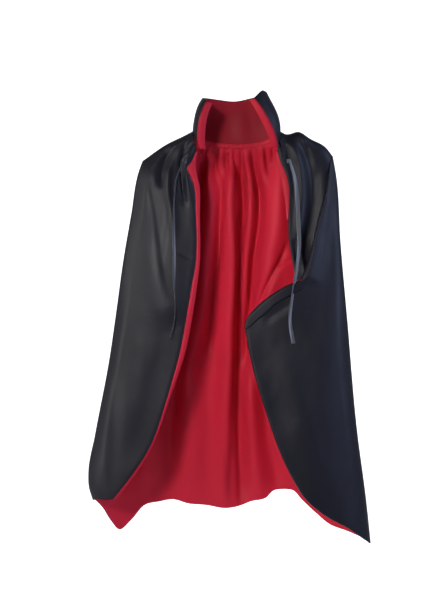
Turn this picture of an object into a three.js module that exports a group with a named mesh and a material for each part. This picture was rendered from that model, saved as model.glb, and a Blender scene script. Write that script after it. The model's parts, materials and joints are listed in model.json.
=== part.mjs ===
// A lined cape with a stand-up collar and ribbon ties, as it hangs from its shoulders.
// Millimetres. +Z is up, the front faces -Y, and the origin is the middle of the neck opening,
// level with the back of the neck seam.
import * as THREE from "three";
import { mergeVertices } from "three/addons/utils/BufferGeometryUtils.js";

// ---- Driving dimensions -------------------------------------------------------------------

const CLOTH = 1.2; // thickness of the outer cloth
const LINING = 1.0; // thickness of the lining
const LAYER_GAP = 0.4; // clearance between two layers
const SEAM_GAP = 0.4; // clearance between two edges that meet at a seam
const SHOULDER_GAP = 2.0; // clearance between the neck binding and the rounded shoulder
const FOLD_GAP = 2.4; // clearance from a front flap's fold line to the cloth on each side of it

const NECK_HALF_WIDTH = 95;
const NECK_BACK_DEPTH = 38;
const NECK_FRONT_DEPTH = 44;
const NECK_SIDE_RISE = 18; // the neck seam climbs over the shoulders
const NECK_FRONT_DROP = 22; // and comes down at the front
const NECK_END_ANGLE = 128; // degrees from the middle of the back to each end of the neck seam
const NECK_RISE_START = 0.4; // share of the way round to the side at which the seam starts to climb
const NECK_BEND = 30; // width over which the back's top edge goes from the neck to the shoulder
const BINDING_HEIGHT = 10;
const BINDING_THICKNESS = 2.0;
const BINDING_DROP = SEAM_GAP + CLOTH / 3; // clearance under the collar, whose lower edge slants

const COLLAR_HEIGHT = 100;
const COLLAR_LEAN = 24; // how far the collar's sides lean in at the top
const INTERFACING = 0.8; // thickness of the collar's stiff inner layer
const INTERFACING_MARGIN = 6; // seam allowance left above and below the stiff layer
const INTERFACING_END = 2; // degrees of the neck left free at each end of the stiff layer

const SHOULDER_HALF_WIDTH = 209; // to the outermost point of the shoulder
const SHOULDER_SLOPE = 0.4; // fall of the shoulder line for each millimetre outwards
const SHOULDER_ROLL = 32; // height of the rounded top of the shoulder
const SHOULDER_END = 0.96; // share of the way out at which the rounded top stops, short of a point

const FRONT_DEPTH = 31; // from the middle plane to the front cloth, at the neck
const FRONT_LEAN = 3.3; // degrees that the front cloth leans forward as it falls
const BACK_DEPTH = 35;
const BACK_LEAN = 4.4;
const SIDE_TURN = 34; // width over which the front cloth turns round to the back

const BACK_LENGTH = 812; // neck seam to hem at the middle of the back
const LEFT_SIDE_LENGTH = 792; // neck seam to hem at the left side
const RIGHT_SIDE_LENGTH = 868;
const LEFT_HEM_HALF_WIDTH = 322;
const RIGHT_HEM_HALF_WIDTH = 292;

const FOLD_TOP_SHARE = 0.67; // of the shoulder's half width, where a flap's fold line meets it
const FOLD_HEM_INSET = 42; // from the side to the fold line, at the hem
const FACING_WIDTH = 14; // turned edge beside the opening

const TIE_DIAMETER = 9;
const TIE_LIFT = 6.5; // from the front cloth to the middle of the ribbon
const TACK_SIZE = 9;
const TACK_THICKNESS = 0.8;

// The front edge of each front, from the neck to the hem, as shares: [across, down]. Across is
// from the neck's side to the fold line's lower end, and down is from EDGE_TOP to the hem.
const EDGE_TOP = 36;
const EDGE_MARGIN = 1; // from the neck's side out to the top of the edge
const LEFT_EDGE = [
  [0, 0],
  [-0.065, 0.098],
  [-0.065, 0.25],
  [0.033, 0.409],
  [0.293, 0.693],
  [0.614, 0.884],
  [0.935, 0.989],
];
const RIGHT_EDGE = [
  [0, 0],
  [0.136, 0.113],
  [0.156, 0.221],
  [0.247, 0.329],
  [-0.364, 0.421],
  [-0.416, 0.459],
  [-0.299, 0.546],
  [0.013, 0.756],
  [0.299, 0.873],
  [0.565, 0.933],
  [0.909, 0.976],
];
// The middle line of each ribbon, from its sewn end, on the front cloth: [across, z]. Across is
// a share of the way from the top of the front edge to the top of the fold line.
const LEFT_TIE_ROUTE = [
  [0.41, -40],
  [0.795, -80],
  [0.909, -130],
  [0.932, -190],
  [0.909, -250],
  [0.909, -310],
  [0.841, -360],
  [0.909, -395],
  [1.091, -428],
];
const RIGHT_TIE_ROUTE = [
  [0.364, -40],
  [0.659, -85],
  [0.773, -130],
  [0.818, -180],
  [0.841, -235],
  [0.682, -290],
  [0.5, -340],
  [0.386, -390],
  [0.545, -440],
];

// ---- Mesh fineness --------------------------------------------------------------------------

// Columns and rows of flat facets in each bent sheet.
const BACK_GRID = [32, 12];
const SHOULDER_GRID = [12, 10];
const SIDE_GRID = [12, 6];
const BINDING_GRID = [32, 1];
const COLLAR_GRID = [32, 4];
const TIE_SIDES = 8;
const TIE_STEP = 2.5; // length of a ribbon's facets, in ribbon diameters
const MERGE_DISTANCE = 1e-4;
const SLOPE_STEP = 1e-3; // share of a sheet over which its slope is measured

// ---- Materials ------------------------------------------------------------------------------

const satin = (color, roughness) =>
  new THREE.MeshStandardMaterial({ color, roughness, metalness: 0 });
const BLACK_SATIN = satin(0x1d1f26, 0.4);
const RED_SATIN = satin(0xa5192d, 0.42);
const RIBBON = satin(0x23252e, 0.3);
const STIFF_CLOTH = satin(0xd9d6cf, 0.9);

// ---- Shape helpers ----------------------------------------------------------------------------

const { lerp, degToRad, smoothstep } = THREE.MathUtils;

const FOLD_TOP_X = FOLD_TOP_SHARE * SHOULDER_HALF_WIDTH;
const EDGE_TOP_X = NECK_HALF_WIDTH + EDGE_MARGIN;

// Height of the shoulder line at x.
const beyondNeck = (x) => Math.max(0, Math.abs(x) - NECK_HALF_WIDTH);
const ridgeHeight = (x) => NECK_SIDE_RISE - SHOULDER_SLOPE * beyondNeck(x);
// Height of the lower edge of the shoulder's rounded top.
const shoulderEdge = (x) => ridgeHeight(x) - SHOULDER_ROLL;
const frontY = (z) => -FRONT_DEPTH + z * Math.tan(degToRad(FRONT_LEAN));
const backY = (z) => BACK_DEPTH - z * Math.tan(degToRad(BACK_LEAN));

const SIDES = {
  left: {
    sign: -1,
    hemHalfWidth: LEFT_HEM_HALF_WIDTH,
    sideLength: LEFT_SIDE_LENGTH,
    edge: LEFT_EDGE,
    tieRoute: LEFT_TIE_ROUTE,
  },
  right: {
    sign: 1,
    hemHalfWidth: RIGHT_HEM_HALF_WIDTH,
    sideLength: RIGHT_SIDE_LENGTH,
    edge: RIGHT_EDGE,
    tieRoute: RIGHT_TIE_ROUTE,
  },
};

// A thin sheet: a flat box bent so that its middle follows surface(s, t), for s and t from 0 to 1.
// It lies inside the surface, from inset to inset + thickness below it. The surface's outside is
// the side that ds x dt points to, or the other side with flip.
function bentSheet(surface, [columns, rows], thickness, inset, flip = false) {
  const box = new THREE.BoxGeometry(1, 1, 1, columns, rows, 1);
  box.deleteAttribute("normal");
  box.deleteAttribute("uv");
  const sheet = mergeVertices(box, MERGE_DISTANCE);
  const position = sheet.getAttribute("position");
  const step = SLOPE_STEP;
  const normal = new THREE.Vector3();
  for (let i = 0; i < position.count; i += 1) {
    const s = position.getX(i) + 0.5;
    const t = position.getY(i) + 0.5;
    const depth = (0.5 - position.getZ(i)) * thickness + inset;
    const s0 = Math.min(Math.max(s, step), 1 - step);
    const t0 = Math.min(Math.max(t, step), 1 - step);
    const ds = surface(s0 + step, t0).sub(surface(s0 - step, t0));
    const dt = surface(s0, t0 + step).sub(surface(s0, t0 - step));
    normal.crossVectors(ds, dt).normalize();
    const point = surface(s, t).addScaledVector(normal, flip ? depth : -depth);
    position.setXYZ(i, point.x, point.y, point.z);
  }
  if (flip) {
    const index = sheet.index;
    for (let i = 0; i < index.count; i += 3) {
      const kept = index.getX(i);
      index.setX(i, index.getX(i + 1));
      index.setX(i + 1, kept);
    }
  }
  const faceted = sheet.toNonIndexed();
  faceted.computeVertexNormals();
  return faceted;
}

function addMesh(parent, name, geometry, material) {
  const mesh = new THREE.Mesh(geometry, material);
  mesh.name = name;
  parent.add(mesh);
}

// Adds a sheet of outer cloth and a sheet of lining just inside it.
function addLayers(parent, name, surface, grid, flip = false) {
  const shell = bentSheet(surface, grid, CLOTH, 0, flip);
  const lining = bentSheet(surface, grid, LINING, CLOTH + LAYER_GAP, flip);
  addMesh(parent, name + "_shell", shell, BLACK_SATIN);
  addMesh(parent, name + "_lining", lining, RED_SATIN);
}

// ---- Back, shoulders and sides -----------------------------------------------------------------

// Share of a half panel, from its middle outwards, that is flat. The rest turns to the side.
const FLAT_SHARE = 0.7;

// Distance from the middle and share of the full depth, for w from 0 at the inner edge of the
// flat stretch to 1 at the side. The turn is a quarter of an ellipse.
function acrossHalf(w, inner, halfWidth) {
  const flatEnd = halfWidth - SIDE_TURN;
  if (w < FLAT_SHARE) return { x: lerp(inner, flatEnd, w / FLAT_SHARE), depth: 1 };
  const angle = (((w - FLAT_SHARE) / (1 - FLAT_SHARE)) * Math.PI) / 2;
  return { x: flatEnd + SIDE_TURN * Math.sin(angle), depth: Math.cos(angle) };
}

// A point of the back, from the left side at s = 0 to the right side at s = 1.
function backSurface(s, t) {
  const side = s < 0.5 ? SIDES.left : SIDES.right;
  const w = Math.abs(2 * s - 1);
  const top = acrossHalf(w, 0, SHOULDER_HALF_WIDTH);
  const hem = acrossHalf(w, 0, side.hemHalfWidth);
  const underCollar = -BINDING_HEIGHT - SEAM_GAP;
  const besideCollar = shoulderEdge(top.x) - SEAM_GAP;
  const collarShare = smoothstep(top.x, NECK_HALF_WIDTH - NECK_BEND, NECK_HALF_WIDTH);
  const topZ = lerp(underCollar, besideCollar, collarShare);
  const hemZ = -lerp(BACK_LENGTH, side.sideLength, w * w);
  const z = lerp(topZ, hemZ, t);
  const y = backY(z) * top.depth + SEAM_GAP;
  return new THREE.Vector3(side.sign * lerp(top.x, hem.x, t), y, z);
}

// The half width at the fold line and the height of the fold line's lower end.
const foldHem = (side) => new THREE.Vector2(side.hemHalfWidth - FOLD_HEM_INSET, -side.sideLength);
const foldTop = () => new THREE.Vector2(FOLD_TOP_X, shoulderEdge(FOLD_TOP_X));

// A point of the front cloth between the flap's fold line, at s = 0, and the side, at s = 1.
function sideSurface(side, s, t) {
  const top = acrossHalf(s, FOLD_TOP_X + FOLD_GAP, SHOULDER_HALF_WIDTH);
  const hem = acrossHalf(s, foldHem(side).x + FOLD_GAP, side.hemHalfWidth);
  const z = lerp(shoulderEdge(top.x) - SEAM_GAP, -side.sideLength, t);
  const y = frontY(z) * top.depth - SEAM_GAP;
  return new THREE.Vector3(side.sign * lerp(top.x, hem.x, t), y, z);
}

// A point of the shoulder's rounded top: s from the neck outwards, t from the front over to the
// back. It closes like a dome at the shoulder's end, short of its pole.
function shoulderSurface(side, s, t) {
  const inner = NECK_HALF_WIDTH + SHOULDER_GAP;
  const { x, depth } = acrossHalf(s * SHOULDER_END, inner, SHOULDER_HALF_WIDTH);
  const angle = (t - 0.5) * Math.PI;
  const edge = shoulderEdge(x);
  const reach = angle < 0 ? -frontY(edge) : backY(edge);
  const y = reach * Math.sin(angle) * depth;
  const z = edge + SHOULDER_ROLL * Math.cos(angle) * depth;
  return new THREE.Vector3(side.sign * x, y, z);
}

function addBody(root) {
  addLayers(root, "back", backSurface, BACK_GRID);
  for (const [name, side] of Object.entries(SIDES)) {
    const shoulder = (s, t) => shoulderSurface(side, s, t);
    const flank = (s, t) => sideSurface(side, s, t);
    addLayers(root, name + "_shoulder", shoulder, SHOULDER_GRID, side.sign < 0);
    addLayers(root, name + "_side", flank, SIDE_GRID, side.sign > 0);
  }
}

// ---- Neck binding and collar ---------------------------------------------------------------------

// A point of the neck seam's plan, by angle from the middle of the back. It is a squared oval.
function neckPlan(angle, halfWidth) {
  const across = Math.sin(angle);
  const along = Math.cos(angle);
  const depth = along > 0 ? NECK_BACK_DEPTH : NECK_FRONT_DEPTH;
  const reach = (across ** 4 + along ** 4) ** -0.25;
  return { x: halfWidth * across * reach, y: depth * along * reach };
}

// Height of the neck seam: level at the back, up over the shoulders and down at the front.
function seamHeight(angle) {
  const turned = Math.abs(angle);
  const side = Math.PI / 2;
  if (turned < side) return NECK_SIDE_RISE * smoothstep(turned, side * NECK_RISE_START, side);
  const end = degToRad(NECK_END_ANGLE);
  return lerp(NECK_SIDE_RISE, -NECK_FRONT_DROP, (turned - side) / (end - side));
}

// A band that stands on the neck seam from low to high above it, leaning in by lean at the top
// of the collar. Margin shortens it at both ends, in degrees.
function neckBand(low, high, margin) {
  const end = degToRad(NECK_END_ANGLE - margin);
  return (s, t) => {
    const angle = lerp(-end, end, s);
    const height = lerp(low, high, t);
    const halfWidth = NECK_HALF_WIDTH - (COLLAR_LEAN * Math.max(0, height)) / COLLAR_HEIGHT;
    const { x, y } = neckPlan(angle, halfWidth);
    return new THREE.Vector3(x, y, seamHeight(angle) + height);
  };
}

function addCollar(root) {
  const seam = neckBand(-BINDING_HEIGHT, -BINDING_DROP, 0);
  const full = neckBand(0, COLLAR_HEIGHT, 0);
  const trimmed = neckBand(INTERFACING_MARGIN, COLLAR_HEIGHT - INTERFACING_MARGIN, INTERFACING_END);
  const stiffInset = CLOTH + LAYER_GAP;
  const liningInset = stiffInset + INTERFACING + LAYER_GAP;
  const binding = bentSheet(seam, BINDING_GRID, BINDING_THICKNESS, 0, true);
  const shell = bentSheet(full, COLLAR_GRID, CLOTH, 0, true);
  const stiff = bentSheet(trimmed, COLLAR_GRID, INTERFACING, stiffInset, true);
  const lining = bentSheet(full, COLLAR_GRID, LINING, liningInset, true);
  addMesh(root, "neck_binding", binding, RED_SATIN);
  addMesh(root, "collar_shell", shell, BLACK_SATIN);
  addMesh(root, "collar_interfacing", stiff, STIFF_CLOTH);
  addMesh(root, "collar_lining", lining, RED_SATIN);
}

// ---- Front flaps -------------------------------------------------------------------------------------

// The front cloth's plane: local x across, local y up the cloth and local z out of it.
function frontPlane() {
  const plane = new THREE.Group();
  plane.rotation.x = Math.PI / 2 - degToRad(FRONT_LEAN);
  plane.position.y = -FRONT_DEPTH - SEAM_GAP;
  return plane;
}

// A point given by its x and height, in the front plane's own coordinates.
const onPlane = ([x, z]) => new THREE.Vector2(x, z / Math.cos(degToRad(FRONT_LEAN)));

// Moves each point of a line sideways by distance. Positive is to the left of its direction.
function offsetLine(points, distance) {
  return points.map((point, i) => {
    const before = points[Math.max(0, i - 1)];
    const after = points[Math.min(points.length - 1, i + 1)];
    const along = after.clone().sub(before).normalize();
    return new THREE.Vector2(point.x - along.y * distance, point.y + along.x * distance);
  });
}

function extruded(outline, thickness, outset) {
  const shape = new THREE.Shape(outline);
  const geometry = new THREE.ExtrudeGeometry(shape, { depth: thickness, bevelEnabled: false });
  return geometry.translate(0, 0, outset);
}

// A point of the front edge, from its shares across and down.
const edgePoint = (side, [across, down]) => [
  side.sign * lerp(EDGE_TOP_X, foldHem(side).x, across),
  -lerp(EDGE_TOP, side.sideLength, down),
];

function addFront(root, name, side) {
  const plane = frontPlane();
  const edgePoints = side.edge.map((shares) => edgePoint(side, shares));
  const edge = edgePoints.map(onPlane);
  const inward = -side.sign;
  const facingOuter = offsetLine(edge, inward * SEAM_GAP);
  const facingInner = offsetLine(edge, inward * FACING_WIDTH);
  const top = foldTop();
  const hem = foldHem(side);
  const foldX = (z) => lerp(top.x, hem.x, (top.y - z) / (top.y - hem.y)) - FOLD_GAP;
  const lastZ = edgePoints[edgePoints.length - 1][1];
  const shoulderZ = shoulderEdge(FOLD_TOP_X) - SEAM_GAP;
  const foldCorners = [
    [side.sign * foldX(lastZ), lastZ],
    [side.sign * foldX(shoulderZ), shoulderZ],
  ].map(onPlane);
  const outline = [...edge, ...foldCorners];
  const liningBack = -(CLOTH + LAYER_GAP + LINING);
  addMesh(plane, name + "_front_shell", extruded(outline, CLOTH, -CLOTH), BLACK_SATIN);
  addMesh(plane, name + "_front_lining", extruded(outline, LINING, liningBack), RED_SATIN);
  const facing = [...facingOuter, ...facingInner.reverse()];
  const facingColour = side.sign < 0 ? RED_SATIN : BLACK_SATIN;
  addMesh(plane, name + "_front_facing", extruded(facing, -liningBack, liningBack), facingColour);
  addTie(plane, name, side);
  root.add(plane);
}

// ---- Ribbon ties -----------------------------------------------------------------------------------

function addTie(plane, name, side) {
  const points = side.tieRoute.map(([across, z]) => {
    const flat = onPlane([side.sign * lerp(EDGE_TOP_X, FOLD_TOP_X, across), z]);
    return new THREE.Vector3(flat.x, flat.y, TIE_LIFT);
  });
  const path = new THREE.CatmullRomCurve3(points);
  const section = new THREE.Shape();
  section.absarc(0, 0, TIE_DIAMETER / 2, 0, 2 * Math.PI);
  const steps = Math.round(path.getLength() / (TIE_STEP * TIE_DIAMETER));
  const options = { extrudePath: path, steps, curveSegments: TIE_SIDES, bevelEnabled: false };
  addMesh(plane, name + "_tie", new THREE.ExtrudeGeometry(section, options), RIBBON);
  const tack = new THREE.BoxGeometry(TACK_SIZE, TACK_SIZE, TACK_THICKNESS);
  tack.translate(points[0].x, points[0].y - TACK_SIZE / 2, LAYER_GAP + TACK_THICKNESS / 2);
  addMesh(plane, name + "_tie_tack", tack, RIBBON);
}

// ---- Assembly ------------------------------------------------------------------------------------------

const cape = new THREE.Group();
addBody(cape);
addCollar(cape);
for (const [name, side] of Object.entries(SIDES)) addFront(cape, name, side);

export default cape;
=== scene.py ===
"""A lined satin cape with a stand collar and ribbon ties, hanging from its shoulders.

Laid out as a Blender add-on and run as a script. Metres, +Z up, the front faces -Y, and the
origin is the middle of the neck opening. Every cloth is a surface worked out as whole arrays:
four edge lines filled with a Coons patch, set to its depth and pressed into folds.
"""

import json

import bpy
import numpy as np
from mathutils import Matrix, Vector


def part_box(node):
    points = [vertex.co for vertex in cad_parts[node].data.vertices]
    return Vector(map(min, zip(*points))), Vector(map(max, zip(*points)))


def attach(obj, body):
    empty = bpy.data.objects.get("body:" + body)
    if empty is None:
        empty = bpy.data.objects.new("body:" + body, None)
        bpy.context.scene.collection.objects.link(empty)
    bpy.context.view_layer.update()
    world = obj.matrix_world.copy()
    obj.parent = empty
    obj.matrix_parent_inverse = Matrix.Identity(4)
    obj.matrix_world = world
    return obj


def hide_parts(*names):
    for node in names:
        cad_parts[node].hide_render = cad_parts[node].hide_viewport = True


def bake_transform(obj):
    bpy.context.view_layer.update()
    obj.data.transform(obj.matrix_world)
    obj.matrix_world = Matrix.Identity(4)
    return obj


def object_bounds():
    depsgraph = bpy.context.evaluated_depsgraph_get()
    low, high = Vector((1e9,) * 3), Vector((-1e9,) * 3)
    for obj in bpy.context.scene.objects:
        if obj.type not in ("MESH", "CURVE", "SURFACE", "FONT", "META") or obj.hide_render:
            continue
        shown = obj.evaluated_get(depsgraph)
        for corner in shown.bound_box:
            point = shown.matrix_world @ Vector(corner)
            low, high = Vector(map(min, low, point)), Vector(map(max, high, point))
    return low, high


bl_info = {
    "name": "Stand-collar cape",
    "version": (1, 0, 0),
    "blender": (4, 5, 0),
    "location": "View3D > Sidebar > Cape",
    "description": "Builds a lined satin cape with a stand collar and ribbon ties",
    "category": "Add Mesh",
}

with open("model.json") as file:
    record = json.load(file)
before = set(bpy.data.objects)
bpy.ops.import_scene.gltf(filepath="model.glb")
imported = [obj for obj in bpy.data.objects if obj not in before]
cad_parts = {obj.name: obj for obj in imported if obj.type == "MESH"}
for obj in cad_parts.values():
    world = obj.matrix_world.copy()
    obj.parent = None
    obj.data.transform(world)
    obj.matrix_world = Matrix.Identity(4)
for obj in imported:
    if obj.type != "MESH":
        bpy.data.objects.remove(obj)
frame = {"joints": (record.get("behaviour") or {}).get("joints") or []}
CAD_BOX = [list(corner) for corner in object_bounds()]

MM = 0.001
SIDES = ("left", "right")


# ---- Sizes and colours that a user would change ------------------------------------------------


def length_property(name, description, default):
    return bpy.props.FloatProperty(
        name=name, description=description, default=default, min=0.0, unit="LENGTH"
    )


def colour_property(name, description, default):
    return bpy.props.FloatVectorProperty(
        name=name, description=description, default=default, size=3, min=0.0, max=1.0, subtype="COLOR"
    )


class CapeSizes(bpy.types.PropertyGroup):
    cloth: length_property("Cloth", "Thickness of the outer cloth", 0.0006)
    lining: length_property("Lining", "Thickness of the lining", 0.0005)
    layer_gap: length_property("Layer gap", "Distance from the outer cloth to the lining", 0.002)
    roll: length_property("Shoulder roll", "Radius of the cloth over the shoulders", 0.032)
    turn: length_property("Side turn", "Width over which the front turns round to the back", 0.14)
    ribbon_width: length_property("Ribbon width", "Width of each tie", 0.009)
    gather_depth: length_property("Gather depth", "Depth of the gathers at the neck seam", 0.0032)


class CapeColours(bpy.types.PropertyGroup):
    outer: colour_property("Outer", "Colour of the outer satin", (0.0072, 0.0069, 0.0112))
    lining: colour_property("Lining", "Colour of the lining satin", (0.56, 0.015, 0.038))
    # The ties' colour is a grey well above the black outer satin's: their dark own colour with painted
    # sheen, lifted to stand in for the highlight along the ties.
    ribbon: colour_property("Ribbon", "Colour of the ties", (0.058, 0.057, 0.060))
    floor: colour_property("Floor", "Colour of the floor", (0.86, 0.86, 0.86))


# ---- Lines and surfaces ------------------------------------------------------------------------


def line_through(points, shares):
    """A smooth line through points, at shares from 0 to 1 of its length.

    Between two points it is the cubic with the central slope at each of them."""
    points = np.asarray(points, float)
    knots = np.concatenate([[0.0], np.cumsum(np.linalg.norm(np.diff(points, axis=0), axis=1))])
    knots /= knots[-1]
    slopes = np.gradient(points, knots, axis=0)
    shares = np.asarray(shares, float)
    first = np.clip(np.searchsorted(knots, shares, side="right") - 1, 0, len(knots) - 2)
    span = (knots[first + 1] - knots[first])[:, None]
    f = (shares - knots[first])[:, None] / span
    start, end = points[first], points[first + 1]
    out, back = slopes[first] * span, slopes[first + 1] * span
    return (
        (2 * f**3 - 3 * f**2 + 1) * start
        + (f**3 - 2 * f**2 + f) * out
        + (3 * f**2 - 2 * f**3) * end
        + (f**3 - f**2) * back
    )


def drawn(points, shares):
    """The smooth line through points that are given in millimetres, in metres."""
    return line_through(np.asarray(points, float) * MM, shares)


def joined_lines(lines, shares):
    """Smooth lines end to end with a corner between them, at shares from 0 to 1 of the whole."""
    lengths = [np.linalg.norm(np.diff(np.asarray(line, float), axis=0), axis=1).sum() for line in lines]
    ends = np.concatenate([[0.0], np.cumsum(lengths)]) / np.sum(lengths)
    shares = np.asarray(shares, float)
    result = np.empty((len(shares), len(lines[0][0])))
    for line, low, high in zip(lines, ends[:-1], ends[1:]):
        inside = (shares >= low) & (shares <= high)
        result[inside] = line_through(line, (shares[inside] - low) / (high - low))
    return result


def patch(start, end, top, hem, s, t):
    """Coons patch: the sheet between the lines start(t), end(t), top(s) and hem(s).

    It is start-to-end plus top-to-hem, less the bilinear mix of the four corners."""
    s = s[:, None, None]
    t = t[None, :, None]
    across = (1 - s) * start[None] + s * end[None]
    down = (1 - t) * top[:, None] + t * hem[:, None]
    corners = (1 - s) * ((1 - t) * start[0] + t * start[-1]) + s * ((1 - t) * end[0] + t * end[-1])
    return across + down - corners


def eased(value):
    value = np.clip(value, 0, 1)
    return value * value * (3 - 2 * value)


def rounded(distance, radius):
    """Quarter round: 0 at the edge, 1 at radius from it, upright at the edge."""
    reach = np.clip(distance / radius, 0, 1)
    return np.sqrt(np.clip(1 - (1 - reach) ** 2, 0, 1))


def fold(x, z, line, height, left, right, fade=0.22):
    """A fold along a line of (x, z): height * exp(-(d / width)^2), with d the distance from it.

    left and right are its widths on the two sides, as seen going along the line. It fades out
    over the share fade of the line at both ends."""
    shares = np.linspace(0, 1, 90)
    path = drawn(line, shares)
    length = np.linalg.norm(np.diff(path, axis=0), axis=1).sum()
    along = np.gradient(path, axis=0)
    along /= np.linalg.norm(along, axis=1)[:, None]
    dx = x[..., None] - path[:, 0]
    dz = z[..., None] - path[:, 1]
    nearest = np.argmin(dx * dx + dz * dz, axis=-1)
    dx = np.take_along_axis(dx, nearest[..., None], axis=-1)[..., 0]
    dz = np.take_along_axis(dz, nearest[..., None], axis=-1)[..., 0]
    across = along[nearest, 0] * dz - along[nearest, 1] * dx
    beyond = along[nearest, 0] * dx + along[nearest, 1] * dz
    width = np.where(across > 0, left, right) * MM
    place = shares[nearest] + beyond / length
    ends = eased(place / fade) * eased((1 - place) / fade)
    return height * MM * ends * np.exp(-((across / width) ** 2))


def offset(points, distance, towards):
    """The surface moved by distance along its own normals, to the side that faces towards."""
    normal = np.cross(np.gradient(points, axis=0), np.gradient(points, axis=1))
    normal /= np.maximum(np.linalg.norm(normal, axis=-1), 1e-12)[..., None]
    side = np.sign(np.mean(normal @ np.asarray(towards, float)))
    return points + side * distance * normal


def all_folds(x, z, folds):
    return sum(fold(x, z, *values) for values in folds)


# ---- The cape's own depth ----------------------------------------------------------------------

# Shoulder line and side, from the neck outwards and down to the hem: (x, z), millimetres.
SHOULDER_LINE = {
    "left": [(-96, 26), (-117, 15), (-154, -3), (-208, -40)],
    "right": [(92, 27), (108, 19), (136, 24), (161, 9), (194, -9), (211, -30)],
}
SIDE_LINE = {
    "left": [(-208, -40), (-216, -62), (-233, -158), (-250, -257), (-266, -373), (-280, -470),
             (-312, -640), (-327, -725), (-326, -755), (-317, -785)],
    "right": [(211, -30), (218, -70), (228, -220), (243, -392), (264, -631), (284, -785), (294, -880)],
}

flap_low, flap_high = (np.array(corner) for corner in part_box("left_front_shell"))
FRONT_LEAN = (flap_high[1] - flap_low[1]) / (flap_high[2] - flap_low[2])
back_low, back_high = (np.array(corner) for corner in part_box("back_shell"))
NECK_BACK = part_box("collar_shell")[1][1]
BACK_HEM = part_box("back_lining")[0][2]
BACK_LEAN = (back_high[1] - NECK_BACK) / -BACK_HEM


def front_y(z):
    """Depth of the flat front cloth at height z."""
    return flap_low[1] + (z - flap_low[2]) * FRONT_LEAN


def back_y(z):
    return NECK_BACK - z * BACK_LEAN


def edge_distances(side, x, z, neck_height):
    """How far a point lies below the shoulder line and inside the side line.

    Behind the neck the shoulder line is taken up to neck_height, so the cloth keeps its depth."""
    shares = np.linspace(0, 1, 600)
    shoulder = drawn(SHOULDER_LINE[side], shares)
    flank = drawn(SIDE_LINE[side], shares)
    inner = np.abs(shoulder[0, 0]) - 26 * MM
    reach = np.concatenate([[inner], np.abs(shoulder[:, 0])])
    height = np.concatenate([[neck_height], shoulder[:, 1]])
    below = np.interp(np.abs(x), reach, height) - z
    inside = np.interp(-z, -flank[:, 1], np.abs(flank[:, 0])) - np.abs(x)
    return np.maximum(below, 0), np.maximum(inside, 0)


def outline(side, shares):
    """Shoulder line and side line as one, with the shoulder's corner kept."""
    return joined_lines([SHOULDER_LINE[side], SIDE_LINE[side]], shares) * MM


def crumple(x, z, seed):
    """Slow uneven swell of hanging cloth: a sum of long waves, up to about 1 in size."""
    draws = np.random.default_rng(seed)
    total = np.zeros_like(x)
    for octave in range(7):
        pitch = 0.26 / 1.45**octave
        angle = draws.uniform(-0.5, 0.5)
        phase = draws.uniform(0, 2 * np.pi, 2)
        across = x * np.cos(angle) + z * np.sin(angle)
        along = z * np.cos(angle) - x * np.sin(angle)
        bend = 1.5 * np.sin(2 * np.pi * along / (3.1 * pitch) + phase[1])
        total += np.sin(2 * np.pi * across / pitch + phase[0] + bend) / 1.5**octave
    return total / 2.2


def gathers(share, down, count, reach, seed):
    """Pleats at the neck seam: a wave with sharper valleys mixed in, of uneven pitch.

    They are cos(2 * pi * count * share) and |sin|, with a share that wavers. They die out with
    exp(-(down / reach)^1.6), and broader ones take over below them."""
    draws = np.random.default_rng(seed)
    a, b, c = draws.uniform(0, 2 * np.pi, 3)
    waver = 0.28 * np.sin(2 * np.pi * 2.3 * share + a) + 0.15 * np.sin(2 * np.pi * 4.1 * share + b)
    swing = share * count + waver
    fine = 0.35 * np.cos(2 * np.pi * swing) + 0.4 * np.abs(np.sin(np.pi * swing + c)) - 0.3
    broad = np.cos(2 * np.pi * swing / 2.3 + c)
    below = 1 - np.exp(-down / (0.6 * reach))
    return fine * np.exp(-((down / reach) ** 1.6)) + 0.5 * broad * below * np.exp(-down / (1.8 * reach))


# ---- Meshes --------------------------------------------------------------------------------------


def sheet_object(name, points, finish, size, thickness, flip=False):
    """Makes a sheet mesh of points[s, t] in a finish. Its UV map holds the flat cloth's own metres."""
    columns, rows = points.shape[:2]
    corner = np.arange(columns * rows).reshape(columns, rows)
    quads = np.stack([corner[:-1, :-1], corner[1:, :-1], corner[1:, 1:], corner[:-1, 1:]], axis=-1)
    quads = quads.reshape(-1, 4)
    if flip:
        quads = quads[:, ::-1]
    mesh = bpy.data.meshes.new(name)
    mesh.from_pydata(points.reshape(-1, 3).tolist(), [], quads.tolist())
    u, v = np.meshgrid(np.linspace(0, size[0], columns), np.linspace(size[1], 0, rows), indexing="ij")
    flat = np.stack([u.ravel(), v.ravel()], axis=1)
    layer = mesh.uv_layers.new(name="cloth")
    layer.data.foreach_set("uv", flat[quads.ravel()].astype(np.float32).ravel())
    mesh.shade_smooth()
    mesh.materials.append(finish_named(finish))
    piece = bpy.data.objects.new(name, mesh)
    bpy.context.scene.collection.objects.link(piece)
    if thickness:
        wall = piece.modifiers.new("cloth", "SOLIDIFY")
        wall.thickness = thickness
        wall.offset = -1.0
    return piece


# ---- Materials -----------------------------------------------------------------------------------


WEAVE_DEPTH = 0.00002
CREASE_DEPTH = 0.0012
STREAKS = (70.0, 5.0, 1.0)
TWILL_SLOPE = np.radians(62)


def new_material(name):
    """Makes a material and gives its node tree and its shader."""
    material = bpy.data.materials.new(name)
    material.use_nodes = True
    return material.node_tree, material.node_tree.nodes["Principled BSDF"]


def set_inputs(node, **inputs):
    for name, value in inputs.items():
        node.inputs[name.replace("_", " ")].default_value = value
    return node


def add_node(tree, kind, **inputs):
    return set_inputs(tree.nodes.new(kind), **inputs)


def link(tree, source, output, target, entry):
    tree.links.new(source.outputs[output], target.inputs[entry])


def tone_ramp(tree, shader, noise, dark, light, span):
    """Colours the shader from dark to light over a span of the noise."""
    ramp = tree.nodes.new("ShaderNodeValToRGB")
    for element, position, colour in zip(ramp.color_ramp.elements, span, (dark, light)):
        element.position = position
        element.color = (*colour, 1)
    link(tree, noise, "Fac", ramp, "Fac")
    link(tree, ramp, "Color", shader, "Base Color")


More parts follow.
